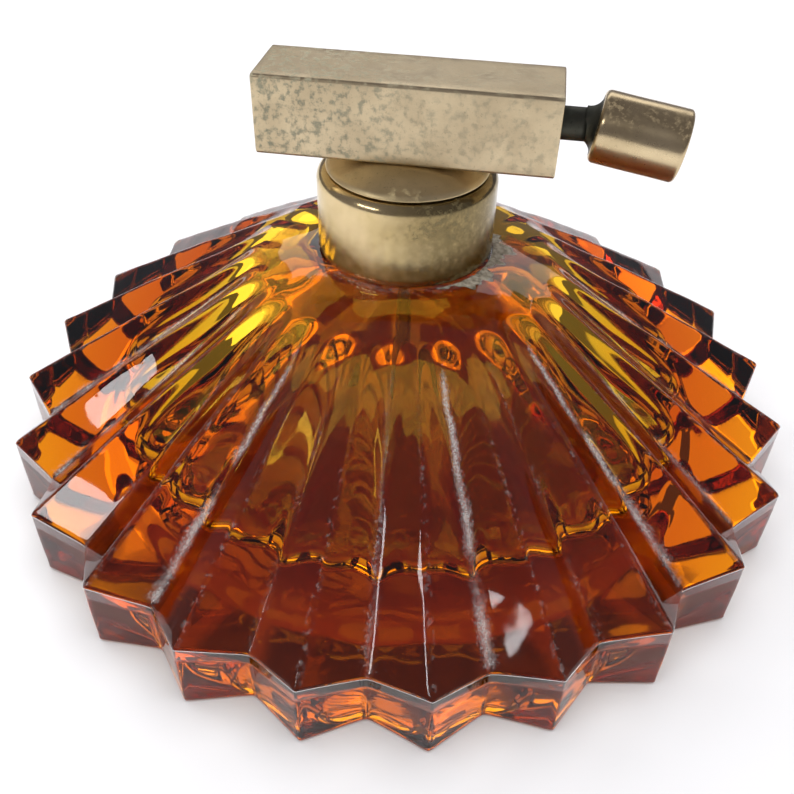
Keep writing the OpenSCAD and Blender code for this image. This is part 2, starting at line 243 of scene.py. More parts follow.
def lathe(name, profile, material, segments=160, place=None, wobble=0.0):
    """Turns a closed or pole-to-pole profile of (radius, height) about Z.

    wobble is the size of a slow unevenness round the piece, as a hand-spun one has.
    """
    rows, poles = [], [None, None]
    last = len(profile) - 1
    for i, (r, z) in enumerate(profile):
        if r < 1e-9 and i in (0, last):
            poles[0 if i == 0 else 1] = (0.0, 0.0, z)
            continue
        row = []
        for j in range(segments):
            a = 2 * math.pi * j / segments
            wave = math.sin(3 * a + 0.7 * z / MM) + 0.5 * math.sin(7 * a + 2)
            turned_r = r + wobble * wave
            row.append((turned_r * math.cos(a), turned_r * math.sin(a), z))
        rows.append(row)
    if poles == [None, None]:
        rows.append(rows[0])
    verts, faces = rows_to_mesh(rows, poles[0], poles[1])
    piece = piece_from(name, verts, faces, material)
    if poles == [None, None]:
        weld(piece)
    outward(piece)
    if place is not None:
        piece.data.transform(place)
    return piece


def weld(piece, distance=1e-7):
    """Joins points that lie on each other."""
    bm = bmesh.new()
    bm.from_mesh(piece.data)
    bmesh.ops.remove_doubles(bm, verts=bm.verts, dist=distance)
    bm.to_mesh(piece.data)
    bm.free()


def outward(piece):
    """Turns every face of a closed mesh to look outwards."""
    bm = bmesh.new()
    bm.from_mesh(piece.data)
    bmesh.ops.recalc_face_normals(bm, faces=bm.faces)
    if bm.calc_volume(signed=True) < 0:
        bmesh.ops.reverse_faces(bm, faces=bm.faces)
    bm.to_mesh(piece.data)
    bm.free()


# ---------- material helpers ----------


class Shade:
    """A node material being built."""

    def __init__(self, name):
        self.mat = bpy.data.materials.new(name)
        self.mat.use_nodes = True
        self.tree = self.mat.node_tree
        self.tree.nodes.clear()
        self.out = self.node("ShaderNodeOutputMaterial")
        self.shader = self.node("ShaderNodeBsdfPrincipled")
        self.link(self.shader.outputs[0], self.out.inputs["Surface"])
        self.coords = self.node("ShaderNodeTexCoord").outputs["Object"]

    def node(self, kind, **settings):
        """A new node with its settings."""
        made = self.tree.nodes.new(kind)
        for key, value in settings.items():
            setattr(made, key, value)
        return made

    def link(self, a, b):
        self.tree.links.new(a, b)

    def set(self, **values):
        """Constants on the shader's own sockets."""
        for key, value in values.items():
            self.shader.inputs[key.replace("_", " ")].default_value = value

    def noise(self, scale, detail=4.0, rough=0.55, stretch=(1, 1, 1), shift=(0, 0, 0), warp=0.0):
        mapping = self.node("ShaderNodeMapping")
        mapping.inputs["Scale"].default_value = stretch
        mapping.inputs["Location"].default_value = shift
        self.link(self.coords, mapping.inputs["Vector"])
        tex = self.node("ShaderNodeTexNoise")
        tex.inputs["Scale"].default_value = scale
        tex.inputs["Detail"].default_value = detail
        tex.inputs["Roughness"].default_value = rough
        tex.inputs["Distortion"].default_value = warp
        self.link(mapping.outputs[0], tex.inputs["Vector"])
        return tex.outputs["Fac"]

    def ramp(self, fac, *stops):
        """Two stops, each a place and a colour."""
        made = self.node("ShaderNodeValToRGB")
        made.color_ramp.interpolation = "EASE"
        for element, (at, colour) in zip(made.color_ramp.elements, stops):
            element.position = at
            element.color = (*colour, 1)
        self.link(fac, made.inputs[0])
        return made.outputs[0]

    def levels(self, fac, low, high, to_low=0.0, to_high=1.0):
        """Spreads low..high over to_low..to_high, with soft ends."""
        made = self.node("ShaderNodeMapRange", interpolation_type="SMOOTHSTEP")
        made.inputs["From Min"].default_value = low
        made.inputs["From Max"].default_value = high
        made.inputs["To Min"].default_value = to_low
        made.inputs["To Max"].default_value = to_high
        self.link(fac, made.inputs["Value"])
        return made.outputs[0]

    def along(self, axis, start, end, to_low=0.0, to_high=1.0):
        """Goes from to_low to to_high between two places on an object axis."""
        split = self.node("ShaderNodeSeparateXYZ")
        self.link(self.coords, split.inputs[0])
        return self.levels(split.outputs[axis], start, end, to_low, to_high)

    def mix(self, fac, a, b):
        """Colour a at fac 0, colour b at fac 1."""
        made = self.node("ShaderNodeMix", data_type="RGBA")
        colour_a, colour_b, colour_out = 6, 7, 2
        self.feed(made.inputs["Factor"], fac)
        self.feed(made.inputs[colour_a], a)
        self.feed(made.inputs[colour_b], b)
        return made.outputs[colour_out]

    def math(self, operation, a, b=0.0, clamp=False):
        made = self.node("ShaderNodeMath", operation=operation, use_clamp=clamp)
        self.feed(made.inputs[0], a)
        self.feed(made.inputs[1], b)
        return made.outputs[0]

    def feed(self, socket, value):
        """Links an output, or sets a number or a colour."""
        if hasattr(value, "is_output"):
            self.link(value, socket)
        elif hasattr(value, "__len__") and len(value) == 3:
            socket.default_value = (*value, 1)
        else:
            socket.default_value = value

    def edge_wear(self, radius, strength=6.0):
        """Bright where the surface turns sharply outwards."""
        bevel = self.node("ShaderNodeBevel", samples=6)
        bevel.inputs["Radius"].default_value = radius
        geo = self.node("ShaderNodeNewGeometry")
        dot = self.node("ShaderNodeVectorMath", operation="DOT_PRODUCT")
        self.link(bevel.outputs[0], dot.inputs[0])
        self.link(geo.outputs["Normal"], dot.inputs[1])
        turned = self.math("SUBTRACT", 1.0, dot.outputs["Value"])
        return self.math("MULTIPLY", turned, strength, clamp=True)

    def attribute(self, name):
        return self.node("ShaderNodeAttribute", attribute_name=name).outputs["Fac"]

    def bump(self, height, strength, distance):
        made = self.node("ShaderNodeBump")
        made.inputs["Strength"].default_value = strength
        made.inputs["Distance"].default_value = distance
        self.link(height, made.inputs["Height"])
        self.link(made.outputs[0], self.shader.inputs["Normal"])

    def to(self, name, socket):
        """Drives a shader socket from an output."""
        self.link(socket, self.shader.inputs[name])


# ---------- materials ----------


CLEAR = (1.0, 1.0, 1.0)
DUST_PALE, DUST_DARK = (0.62, 0.56, 0.46), (0.30, 0.24, 0.17)
SCENT_FILM, SCENT_STAIN = (0.90, 0.57, 0.38), (0.76, 0.40, 0.24)
# Painted shade for the underside's colour: lighter in the middle, darker near the rim.
BASE_PAINTED_SHADE, RIM_PAINTED_SHADE = (0.58, 0.17, 0.08), (0.17, 0.055, 0.022)
AMBER_COLOUR, AMBER_DENSITY = (0.94, 0.80, 0.01, 1), 300


def amber_glass():
    """Thick pressed amber glass with dust along the valleys and worn crests.

    Three mesh attributes say where things lie: dust and crest from 0 to 1, and inside,
    which is 1 on the hollow's wall, 0 outside, and -1 to -2 on the underside, which
    carries a dark brown painted shade, darkest towards -2 near the rim.
    """
    s = Shade("amber_glass")
    s.set(IOR=1.5)
    dust = s.attribute("dust")
    wear = s.attribute("crest")
    grains = s.noise(2600, detail=6, rough=0.75)
    flecks = s.noise(8600, detail=3, rough=0.6)
    patches = s.levels(s.noise(170, detail=4, shift=(0.3, 0.1, 0)), 0.36, 0.58)
    dusty = s.math("ADD", s.math("MULTIPLY", dust, 0.8), s.math("MULTIPLY", grains, 1.7))
    dusty = s.levels(dusty, 1.05, 1.95)
    dusty = s.math("MULTIPLY", dusty, s.levels(flecks, 0.35, 0.60, 0.2, 0.75))
    dusty = s.math("MULTIPLY", dusty, patches)
    scuffed = s.math("MULTIPLY", wear, s.levels(s.noise(1500, detail=5), 0.5, 0.68))
    cover = s.math("MAXIMUM", dusty, s.math("MULTIPLY", scuffed, 0.12))
    tint = s.mix(s.levels(flecks, 0.35, 0.7), DUST_PALE, DUST_DARK)
    stain = s.levels(s.noise(120, detail=4), 0.3, 0.7)
    film_tint = s.mix(stain, SCENT_FILM, SCENT_STAIN)
    place = s.attribute("inside")
    # Painted shade: where inside is below 0 the glass's colour turns dark brown, darkest near the
    # rim, standing in for the shade seen through the base.
    under = s.math("MULTIPLY", place, -1.0, clamp=True)
    underside_shade = s.mix(s.levels(place, -1.0, -2.0), BASE_PAINTED_SHADE, RIM_PAINTED_SHADE)
    within = s.math("MULTIPLY", place, 1.0, clamp=True)
    clean = s.mix(within, CLEAR, film_tint)
    clean = s.mix(under, clean, underside_shade)
    s.to("Base Color", s.mix(cover, clean, tint))
    s.to("Transmission Weight", s.math("SUBTRACT", 1.0, cover, clamp=True))
    film = s.noise(160, detail=5, rough=0.6, warp=0.4)
    rough = s.levels(film, 0.35, 0.75, 0.015, 0.06)
    s.to("Roughness", s.math("MAXIMUM", rough, s.math("MULTIPLY", cover, 0.7)))
    s.bump(s.noise(150, detail=3), 0.05, 0.0002)
    absorb = s.node("ShaderNodeVolumeAbsorption")
    absorb.inputs["Color"].default_value = AMBER_COLOUR
    absorb.inputs["Density"].default_value = AMBER_DENSITY
    s.link(absorb.outputs[0], s.out.inputs["Volume"])
    return s.mat


def tarnished(
    name, base, deep, tarnish, cover, rough, spot=700, shift=(0, 0, 0), turned=None,
    shade_and_tarnish_towards=None, gathered_at=None,
):
    """Brass: base colour, darker patches, green-grey tarnish specks and bright worn edges.

    cover is how far the specks reach over the patches, rough the lowest and highest
    roughness, spot the specks' noise scale and shift its place. turned names the axis
    that a lathe-turned piece was spun about: fine turning marks stretch its highlights
    along that axis. shade_and_tarnish_towards gives an axis and two places on it, between
    which the brass goes from clean to a dark painted shade, partly olive tarnish;
    gathered_at is the same kind of thing for where the specks gather.
    """
    s = Shade(name)
    s.set(Metallic=1.0)
    broad = s.noise(110, detail=5, rough=0.6, shift=shift, warp=0.3)
    spots = s.noise(spot, detail=8, rough=0.72, shift=shift)
    fine = s.noise(3200, detail=4, shift=shift)
    lines = s.noise(900, detail=3, stretch=(0.1, 1, 1), shift=shift)
    colour = s.mix(s.levels(broad, 0.36, 0.66), base, deep)
    low, high = cover
    region = s.levels(broad, low, high)
    if gathered_at:
        region = s.math("MULTIPLY", region, s.along(*gathered_at, 0.35, 1.0))
    # Painted shade: along this axis the colour runs down to a dark olive, the unlit side of the
    # piece painted in, partly real olive tarnish, mottled by the specks' noise.
    if shade_and_tarnish_towards:
        shade_grade = s.along(*shade_and_tarnish_towards)
        shade_grade = s.math("MULTIPLY", shade_grade, s.levels(spots, 0.25, 0.55, 0.6, 1.0))
        colour = s.mix(shade_grade, colour, [c * 0.36 for c in deep])
    spotted = s.math("MULTIPLY", region, s.levels(spots, 0.47, 0.64))
    colour = s.mix(s.math("MULTIPLY", spotted, 0.7), colour, tarnish)
    specks = s.levels(fine, 0.60, 0.72, 0, 0.35)
    colour = s.mix(specks, colour, [c * 0.5 for c in deep])
    worn = s.edge_wear(0.0004)
    worn = s.math("MULTIPLY", worn, s.levels(s.noise(600), 0.35, 0.6, 0.3, 1.0))
    colour = s.mix(worn, colour, [min(1, c * 1.18) for c in base])
    s.to("Base Color", colour)
    low_rough, high_rough = rough
    mottled = s.levels(s.noise(240, detail=5, shift=shift), 0.3, 0.7, low_rough, high_rough)
    mottled = s.math("ADD", mottled, s.math("MULTIPLY", spotted, 0.3))
    s.to("Roughness", s.math("SUBTRACT", mottled, s.math("MULTIPLY", worn, 0.08), clamp=True))
    s.to("Metallic", s.math("SUBTRACT", 1.0, s.math("MULTIPLY", spotted, 0.6), clamp=True))
    height = s.math("ADD", s.math("MULTIPLY", lines, 0.4), s.math("MULTIPLY", spotted, 0.2))
    height = s.math("ADD", height, s.math("MULTIPLY", fine, 0.25))
    s.bump(height, 0.25, 0.00006)
    if turned:
        tangent = s.node("ShaderNodeTangent", direction_type="RADIAL", axis=turned)
        s.to("Tangent", tangent.outputs[0])
        s.set(Anisotropic=0.75, Anisotropic_Rotation=0.25)
    return s.mat


def plain_steel():
    """Drawn spring wire."""
    s = Shade("steel")
    s.set(Metallic=1.0)
    drawn = s.noise(1500, detail=4, stretch=(0.2, 1, 1))
    s.to("Base Color", s.ramp(drawn, (0.3, (0.42, 0.42, 0.43)), (0.7, (0.68, 0.68, 0.70))))
    s.to("Roughness", s.levels(drawn, 0.3, 0.7, 0.18, 0.35))
    s.bump(drawn, 0.1, 0.00005)
    return s.mat


def soft_matter(name, low, high, scale, rough, depth):
    """Cork, plaster or leather: two colours in grains, with bump."""
    s = Shade(name)
    grain = s.noise(scale, detail=6, rough=0.65)
    s.to("Base Color", s.ramp(grain, (0.3, low), (0.68, high)))
    s.to("Roughness", s.levels(grain, 0.3, 0.7, rough - 0.12, rough + 0.08))
    s.bump(grain, 0.6, depth)
    return s.mat


def clear_tube():
    """Hazy, slightly yellowed tube."""
    s = Shade("clear_tube")
    s.set(IOR=1.45)
    s.set(Transmission_Weight=0.85)
    haze = s.noise(300, detail=4)
    s.to("Base Color", s.ramp(haze, (0.3, (0.78, 0.70, 0.52)), (0.7, (0.92, 0.88, 0.76))))
    s.to("Roughness", s.levels(haze, 0.3, 0.7, 0.08, 0.25))
    return s.mat


GLASS = amber_glass()
SATIN = tarnished(
    "satin_brass",
    base=(0.70, 0.57, 0.365),
    deep=(0.61, 0.49, 0.31),
    tarnish=(0.30, 0.33, 0.24),
    cover=(0.30, 0.50),
    rough=(0.28, 0.42),
    spot=1100,
    gathered_at=("X", 0.006, -0.012),
)
POLISHED = tarnished(
    "polished_brass",
    base=(0.78, 0.61, 0.34),
    deep=(0.62, 0.47, 0.22),
    tarnish=(0.30, 0.26, 0.13),
    cover=(0.54, 0.74),
    rough=(0.13, 0.24),
    spot=1100,
    shift=(0.4, 0.1, 0.3),
    turned="Z",
    # Darker towards +X: painted shade on the collar's right side, partly olive tarnish.
    shade_and_tarnish_towards=("X", -0.004, 0.007),
)
GILT = tarnished(
    "gilt_disc",
    base=(0.88, 0.70, 0.40),
    deep=(0.74, 0.58, 0.32),
    tarnish=(0.38, 0.34, 0.18),
    cover=(0.50, 0.72),
    rough=(0.40, 0.55),
    shift=(0.9, 0.5, 0.2),
)
TURNED = tarnished(
    "knob_brass",
    base=(0.74, 0.59, 0.36),
    deep=(0.58, 0.45, 0.26),
    tarnish=(0.26, 0.20, 0.12),
    cover=(0.52, 0.72),
    rough=(0.24, 0.36),
    spot=1400,
    shift=(0.2, 0.7, 0.5),
    turned="X",
)
DARK = tarnished(
    "dark_brass",
    base=(0.12, 0.12, 0.095),
    deep=(0.05, 0.055, 0.045),
    tarnish=(0.045, 0.07, 0.055),
    cover=(0.40, 0.60),
    rough=(0.45, 0.65),
    shift=(0.7, 0.2, 0.1),
)
STEEL = plain_steel()
CORK = soft_matter("cork", (0.22, 0.13, 0.07), (0.50, 0.36, 0.21), 900, 0.75, 0.0002)
PLASTER = soft_matter("cement", (0.48, 0.44, 0.36), (0.80, 0.77, 0.69), 1100, 0.85, 0.0002)
LEATHER = soft_matter("leather", (0.09, 0.05, 0.025), (0.25, 0.14, 0.07), 1200, 0.55, 0.0001)
TUBE = clear_tube()

SLOT_MATERIALS = {
    "amber_glass": GLASS,
    "satin_brass": SATIN,
    "polished_brass": POLISHED,
    "dark_brass": DARK,
    "steel": STEEL,
    "cork": CORK,
    "cement": PLASTER,
    "leather": LEATHER,
    "clear_tube": TUBE,
}


def dress_cad_nodes():
    """Gives every carried-over CAD node its slot's material."""
    for part in frame["record"]["subparts"]:
        node = frame["nodes"][part["node"]]
        node.data.materials.clear()
        node.data.materials.append(SLOT_MATERIALS[part["material_slot"]])


def stands_for(piece, body, slot, *nodes):
    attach(piece, body)
    if nodes:
        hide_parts(*nodes)
    return piece


# ---------- bottle ----------


def bottle_columns():
    """Column angles, crowded near each valley and crest."""
    per_half = 10
    half = [0.5 - 0.5 * math.cos(math.pi * i / per_half) for i in range(per_half)]
    fractions = [0.5 * f for f in half] + [0.5 + 0.5 * f for f in half]
    angles = [FIRST_TIP + STEP * (i + f) for i in range(PLEATS) for f in fractions]
    return np.array(angles)


def cavity_profile():
    """The hollow's outline from the mouth to the middle of its floor, blown smooth."""
    roof = VALLEY_Z - 4.6 * MM
    corners = [(MOUTH_R, NECK_TOP - 1.2 * MM), (MOUTH_R, roof + 5.6 * MM)]
    corners += [(MOUTH_R + 2.5 * MM, roof + 2.8 * MM), (FLUTE_START, roof + 0.3 * MM)]
    corners += [(CAVITY_R - 0.5 * MM, 9.6 * MM), (CAVITY_R - 0.5 * MM, 6.0 * MM)]
    corners += [(CAVITY_R - 5 * MM, FLOOR_T + 0.5 * MM), (CAVITY_R - 13 * MM, FLOOR_T)]
    corners += [(3 * MM, FLOOR_T + 0.25 * MM)]
    spacing, kept_each = 0.25 * MM, 8
    everywhere, at_rim, rim_from = 160, 700, 26 * MM
    points = []
    for a, b in zip(corners, corners[1:]):
        count = max(int(math.dist(a, b) / spacing), 2)
        points += [between(a, b, k / count) for k in range(count)]
    points.append(corners[-1])
    points = np.array(points)
    for turn in range(at_rim):
        moved = 0.5 * points[1:-1] + 0.25 * (points[:-2] + points[2:])
        free = (points[1:-1, :1] > rim_from) | (turn < everywhere)
        points[1:-1] = np.where(free, moved, points[1:-1])
    return [tuple(p) for p in points[::kept_each]] + [tuple(points[-1])]


def build_bottle():
    """The whole bottle as one closed skin, in rings from the underside to the hollow."""
    theta = bottle_columns()
    cos_t, sin_t = np.cos(theta), np.sin(theta)
    rows, dust, crest, inside = [], [], [], []
    phi = nearest_flute(theta)

    def add(r, z, dusting=0.0, wearing=0.0, place=0.0):
        """One ring of points, with what lies on it."""
        r = np.broadcast_to(r, theta.shape)
        z = np.broadcast_to(z, theta.shape)
        rows.append(np.stack([r * cos_t, r * sin_t, z], axis=1))
        dust.append(np.broadcast_to(dusting, theta.shape))
        crest.append(np.broadcast_to(wearing, theta.shape))
        inside.append(np.broadcast_to(place, theta.shape))

    # Underside: recess, its rounded step, and the flat that the bottle stands on, all with painted
    # shade (inside below 0).
    step_half = 1.5 * MM
    for r in np.linspace(4 * MM, RECESS_R - step_half, 5):
        add(r, RECESS_D, place=-1.0)
    for i in range(1, 6):
        t = i / 6
        height = RECESS_D * (1 - blend_step(t, 0, 1))
        add(RECESS_R - step_half + 2 * step_half * t, height, place=-1.0)
    inner_flat = RECESS_R + step_half
    foot = outline_radius(theta, BOTTOM_SOFT)
    # Painted shade deepens from 34 to 44 mm radius, less in tongues in line with the valleys.
    pleat = np.round((theta - FIRST_TIP) / STEP)
    tongue = 1 - blend_step(np.abs(phi) / STEP * 2, 0.1, 0.6)
    tongue = tongue * (0.7 + 0.3 * np.sin(pleat * 1.9))
    for t in np.linspace(0, 1, 14):
        r = inner_flat + (foot - inner_flat) * t
        dark = blend_step(r, 34 * MM, 44 * MM) * (1 - 0.9 * tongue)
        add(r, 0.0, place=-1.0 - dark)
    for i in range(1, 6):
        a = math.pi / 2 * i / 5
        r = outline_radius(theta, BOTTOM_SOFT * (1 - math.sin(a)))
        add(r, BOTTOM_SOFT * (1 - math.cos(a)), place=-1.6)
    # Upright rim wall, then the rounded edge over on to the flutes.
    rim = outline_radius(theta, 0.0)
    wall_top = top_height(outline_radius(theta, EDGE_SOFT), theta) - EDGE_SOFT
    bulge = 0.06 * MM
    for t in np.linspace(0.06, 1, 5):
        z = BOTTOM_SOFT + (wall_top - BOTTOM_SOFT) * t
        bow = bulge * math.sin(math.pi * t)
        add(rim + bow - bulge, z)
    near_valley = np.exp(-((phi / STEP * 2) ** 2) / 0.012)
    near_crest = np.exp(-((1 - np.abs(phi) / STEP * 2) ** 2) / 0.002)
    for i in range(1, 6):
        a = math.pi / 2 * i / 5
        inset = EDGE_SOFT * (1 - math.cos(a))
        r = outline_radius(theta, inset)
        add(r, top_height(r, theta) - EDGE_SOFT * (1 - math.sin(a)), 0.3 * near_valley, near_crest)
    # Pleated top, from the rim in to the shoulder.
    outer = outline_radius(theta, EDGE_SOFT)
    valley_number = np.round((theta - FIRST_TIP - STEP / 2) / STEP)
    settled = 0.35 + 0.65 * blend_step(np.sin(valley_number * 2.4 + 0.6), -0.6, 0.8)
    inner = 19.0 * MM
    steps = 84
    for i in range(1, steps + 1):
        t = (1 - i / steps) ** 1.25
        r = inner + (outer - inner) * t
        width = 0.5 + 0.5 * blend_step(r, 24 * MM, 50 * MM)
        wander = 0.10 * np.sin(r / MM * 0.9 + valley_number) + 0.06 * np.sin(r / MM * 2.3)
        side = r * np.sin(phi) / MM
        lateral = np.abs(side - wander)
        line = np.exp(-((lateral / (0.85 * width)) ** 2)) * blend_step(r, 21 * MM, 25 * MM)
        line = line * settled
        add(r, top_height(r, theta), line, near_crest * blend_step(r, 26 * MM, 34 * MM))
    for r in np.linspace(18.4 * MM, NECK_R + 1.2 * MM, 9):
        dirt = 0.55 * (1 - blend_step(r, 11.0 * MM, 14.0 * MM))
        add(r, top_height(r, theta), dirt)
    # Neck, its rounded lip and the bore.
    base_z = float(full_dome(np.array(NECK_R)))
    for r, z in arc(NECK_R + LIP_SOFT, base_z + LIP_SOFT, LIP_SOFT, 270, 180, 4):
        add(r, z)
    for z in np.linspace(base_z + 1.6 * MM, NECK_TOP - 0.5 * MM, 6):
        add(NECK_R, z)
    for r, z in arc(NECK_R - LIP_SOFT, NECK_TOP - LIP_SOFT, LIP_SOFT, 0, 90, 4):
        add(r, z)
    for r, z in arc(MOUTH_R + LIP_SOFT, NECK_TOP - LIP_SOFT, LIP_SOFT, 90, 180, 4):
        add(r, z)
    # Hollow inside, which follows the pleats a little near the rim.
    at_crest = blend_step(np.abs(phi), 0, STEP / 2)
    for r, z in cavity_profile():
        follow = 1.5 * MM * float(blend_step(r, 26 * MM, 39 * MM))
        add(r - follow * at_crest, z, place=1.0)
    verts, faces = rows_to_mesh(
        [row.tolist() for row in rows], (0, 0, RECESS_D), (0, 0, FLOOR_T + 0.25 * MM)
    )
    piece = piece_from("pleated_bottle", verts, faces, GLASS)
    for name, values in (("dust", dust), ("crest", crest), ("inside", inside)):
        layer = piece.data.attributes.new(name, "FLOAT", "POINT")
        ends = [float(values[0][0]), float(values[-1][0])]
        flat = np.concatenate(values + [ends]).astype(np.float32)
        layer.data.foreach_set("value", flat)
    outward(piece)
    return stands_for(piece, "bottle", "amber_glass", "bottle")


# ---------- brass head ----------


def build_collar():
    """Spun shell with a rolled top edge and a lip that the flange hangs under."""
    r, shell, roll = collar_high.x, 0.4 * MM, 1.3 * MM
    low, high = collar_low.z, collar_high.z
    lip_r, lip = 7.1 * MM, 0.7 * MM
    outer = [(r - 0.12 * MM, low), (r, low + 0.15 * MM)]
    outer += [(r, low + (high - roll - low) * t) for t in (0.1, 0.3, 0.5, 0.7, 0.9)]
    outer += arc(r - roll, high - roll, roll, 0, 90, 10)
    outer += [(lip_r + 0.1 * MM, high), (lip_r, high - 0.1 * MM), (lip_r, high - lip)]
    inner_roll = roll - shell
    inner = arc(r - shell - inner_roll, high - lip - inner_roll, inner_roll, 90, 0, 6)
    inner += [(r - shell, low + 0.12 * MM), (r - shell + 0.1 * MM, low)]
    piece = lathe("collar_skin", outer + inner, POLISHED, segments=200, wobble=0.012 * MM)
    return stands_for(piece, "collar", "polished_brass", "collar_shell")


def build_turret():
    """Hub and domed disc, with a bore for the bolt."""
    low, high = disc_low.z, disc_high.z
    r, hub_r, bolt_r, bore_r = disc_high.x, 6.9 * MM, 3.1 * MM, 1.7 * MM
    disc_z, edge, crown = collar_high.z + 0.2 * MM, 0.5 * MM, 4.6 * MM
    soft = 0.16 * MM
    profile = [(bolt_r, low), (hub_r, low), (hub_r, disc_z), (r - soft, disc_z)]
    profile += arc(r - soft, disc_z + soft, soft, -60, 60, 4)
    rise = high - disc_z - edge
    profile += [
        (r - soft - (r - soft - crown) * t, disc_z + edge + rise * math.sin(math.pi / 2 * t))
        for t in [i / 12 for i in range(13)]
    ]
    profile += [(bore_r, high), (bore_r, low + 2.2 * MM), (bolt_r, low + 2.2 * MM)]
    piece = lathe("turret", profile, GILT, segments=160)
    return stands_for(piece, "head", "polished_brass", "turret_disc")


def build_housing():
    """Square tube with worn, softly rounded edges and slightly hollow faces."""
    centre = (housing_low + housing_high) / 2
    size = housing_high - housing_low
    wall = 0.7 * MM
    half_w, half_h = size.y / 2, size.z / 2
    soft, inner_soft, end_soft = 0.42 * MM, 0.12 * MM, 0.22 * MM
    corner_steps = 6

    def loop(inset, radius):
        w, h = half_w - inset, half_h - inset
        points = []
        for sy, sz, a0 in ((1, 1, 0), (-1, 1, 90), (-1, -1, 180), (1, -1, 270)):
            points += arc(sy * (w - radius), sz * (h - radius), radius, a0, a0 + 90, corner_steps)
        dense = []
        for i, p in enumerate(points):
            q = points[(i + 1) % len(points)]
            dense.append(p)
            gap = math.dist(p, q)
            if gap > 1 * MM:
                dense += [between(p, q, k / 8) for k in range(1, 8)]
        return dense

    outer, inner = loop(0, soft), loop(wall, inner_soft)

    def ring(points, x, inset=0.0):
        scale_y, scale_z = (half_w - inset) / half_w, (half_h - inset) / half_h
        row = []
        for y, z in points:
            wave = 0.02 * MM * math.sin(x / MM * 0.42 + y / MM * 0.6) * math.cos(z / MM * 0.5)
            row.append((x, centre.y + y * scale_y, centre.z + z * scale_z - abs(wave) * (z > 0)))
        return row

    left, right = housing_low.x, housing_high.x
    rows = [ring(outer, left, end_soft)]
    for i in range(1, 5):
        a = math.pi / 2 * i / 4
        rows.append(ring(outer, left + end_soft * (1 - math.cos(a)), end_soft * (1 - math.sin(a))))
    flat_l = size.x - 2 * end_soft
    rows += [ring(outer, left + end_soft + flat_l * t) for t in np.linspace(0.02, 0.98, 40)]
    for i in range(4, -1, -1):
        a = math.pi / 2 * i / 4
        rows.append(ring(outer, right - end_soft * (1 - math.cos(a)), end_soft * (1 - math.sin(a))))
    rows += [ring(inner, right), ring(inner, left), ring(outer, left, end_soft)]
    verts, faces = rows_to_mesh([[tuple(p) for p in row] for row in rows])
    piece = piece_from("housing_skin", verts, faces, SATIN)
    weld(piece)
    outward(piece)
    return stands_for(piece, "head", "satin_brass", "housing")


AXIS_Z = (housing_low.z + housing_high.z) / 2
KNOB_X = housing_high.x + 4.2 * MM
ALONG_X = Matrix.Rotation(math.pi / 2, 4, "Y")


def bent_end():
    """Moves a shape drawn about +Z from the origin on to the bent end of the rod."""
    droop, lean = math.radians(7.4), math.radians(-5.5)
    turn = Matrix.Rotation(lean, 4, "Z") @ Matrix.Rotation(droop, 4, "Y")
    return Matrix.Translation((KNOB_X, 0, AXIS_Z)) @ turn @ ALONG_X


def build_knob():
    """Knob with a blind bore for the rod, softly rounded at both ends."""
    r, length, soft, end_soft = 4.25 * MM, 10.4 * MM, 0.7 * MM, 0.5 * MM
    bore, depth = 1.6 * MM, 6.5 * MM
    profile = [(0.0, depth), (bore, depth), (bore, 0.2 * MM)]
    profile += [(bore, 0.0), (2.6 * MM, 0.0), (r - soft - 0.3 * MM, 0.0)]
    profile += arc(r - soft, soft, soft, -90, 0, 10)
    side_l = length - 2 * soft
    profile += [(r, soft + side_l * t) for t in (0.1, 0.25, 0.4, 0.55, 0.7, 0.85, 1)]
    profile += arc(r - end_soft, length - end_soft, end_soft, 0, 90, 8)
    profile += [(2.4 * MM, length), (1.2 * MM, length), (0.0, length)]
    piece = lathe("knob_skin", profile, TURNED, 128, bent_end(), wobble=0.006 * MM)
    return stands_for(piece, "plunger", "polished_brass", "knob")


def build_rod():
    """Straight rod to the piston, then the flare that backs the knob."""
    r, flare_r, flare_l = 1.95 * MM, 3.5 * MM, 1.6 * MM
    spigot_r, spigot_l = 1.6 * MM, 6.5 * MM
    tail_x, stop_x, piston_end = 9.4 * MM, 13.3 * MM, 14.3 * MM
    tail_r, stop_r = 0.9 * MM, 3.05 * MM
    shaft_end = KNOB_X - 1.2 * MM
    straight = [(0.0, tail_x), (tail_r, tail_x), (tail_r, stop_x), (stop_r, stop_x)]
    straight += [(stop_r, piston_end), (r, piston_end)]
    straight += [(r, piston_end + (shaft_end - piston_end) * t) for t in (0.3, 0.6, 0.9, 1)]
    straight += [(0.0, shaft_end)]
    lay = Matrix.Translation((0, 0, AXIS_Z)) @ ALONG_X
    rod = lathe("plunger_rod_shaft", straight, DARK, segments=72, place=lay)
    flare = [(0.0, -flare_l), (r, -flare_l)]
    for i in range(1, 13):
        a = math.pi / 2 * i / 12
        flare.append((r + (flare_r - r) * (1 - math.cos(a)), -flare_l + flare_l * math.sin(a)))
    flare += [(spigot_r, 0.0), (spigot_r, spigot_l), (0.0, spigot_l)]
    neck = lathe("plunger_flare", flare, DARK, segments=96, place=bent_end())
    stands_for(rod, "plunger", "dark_brass", "plunger_rod")
    return stands_for(neck, "plunger", "dark_brass", "plunger_rod")


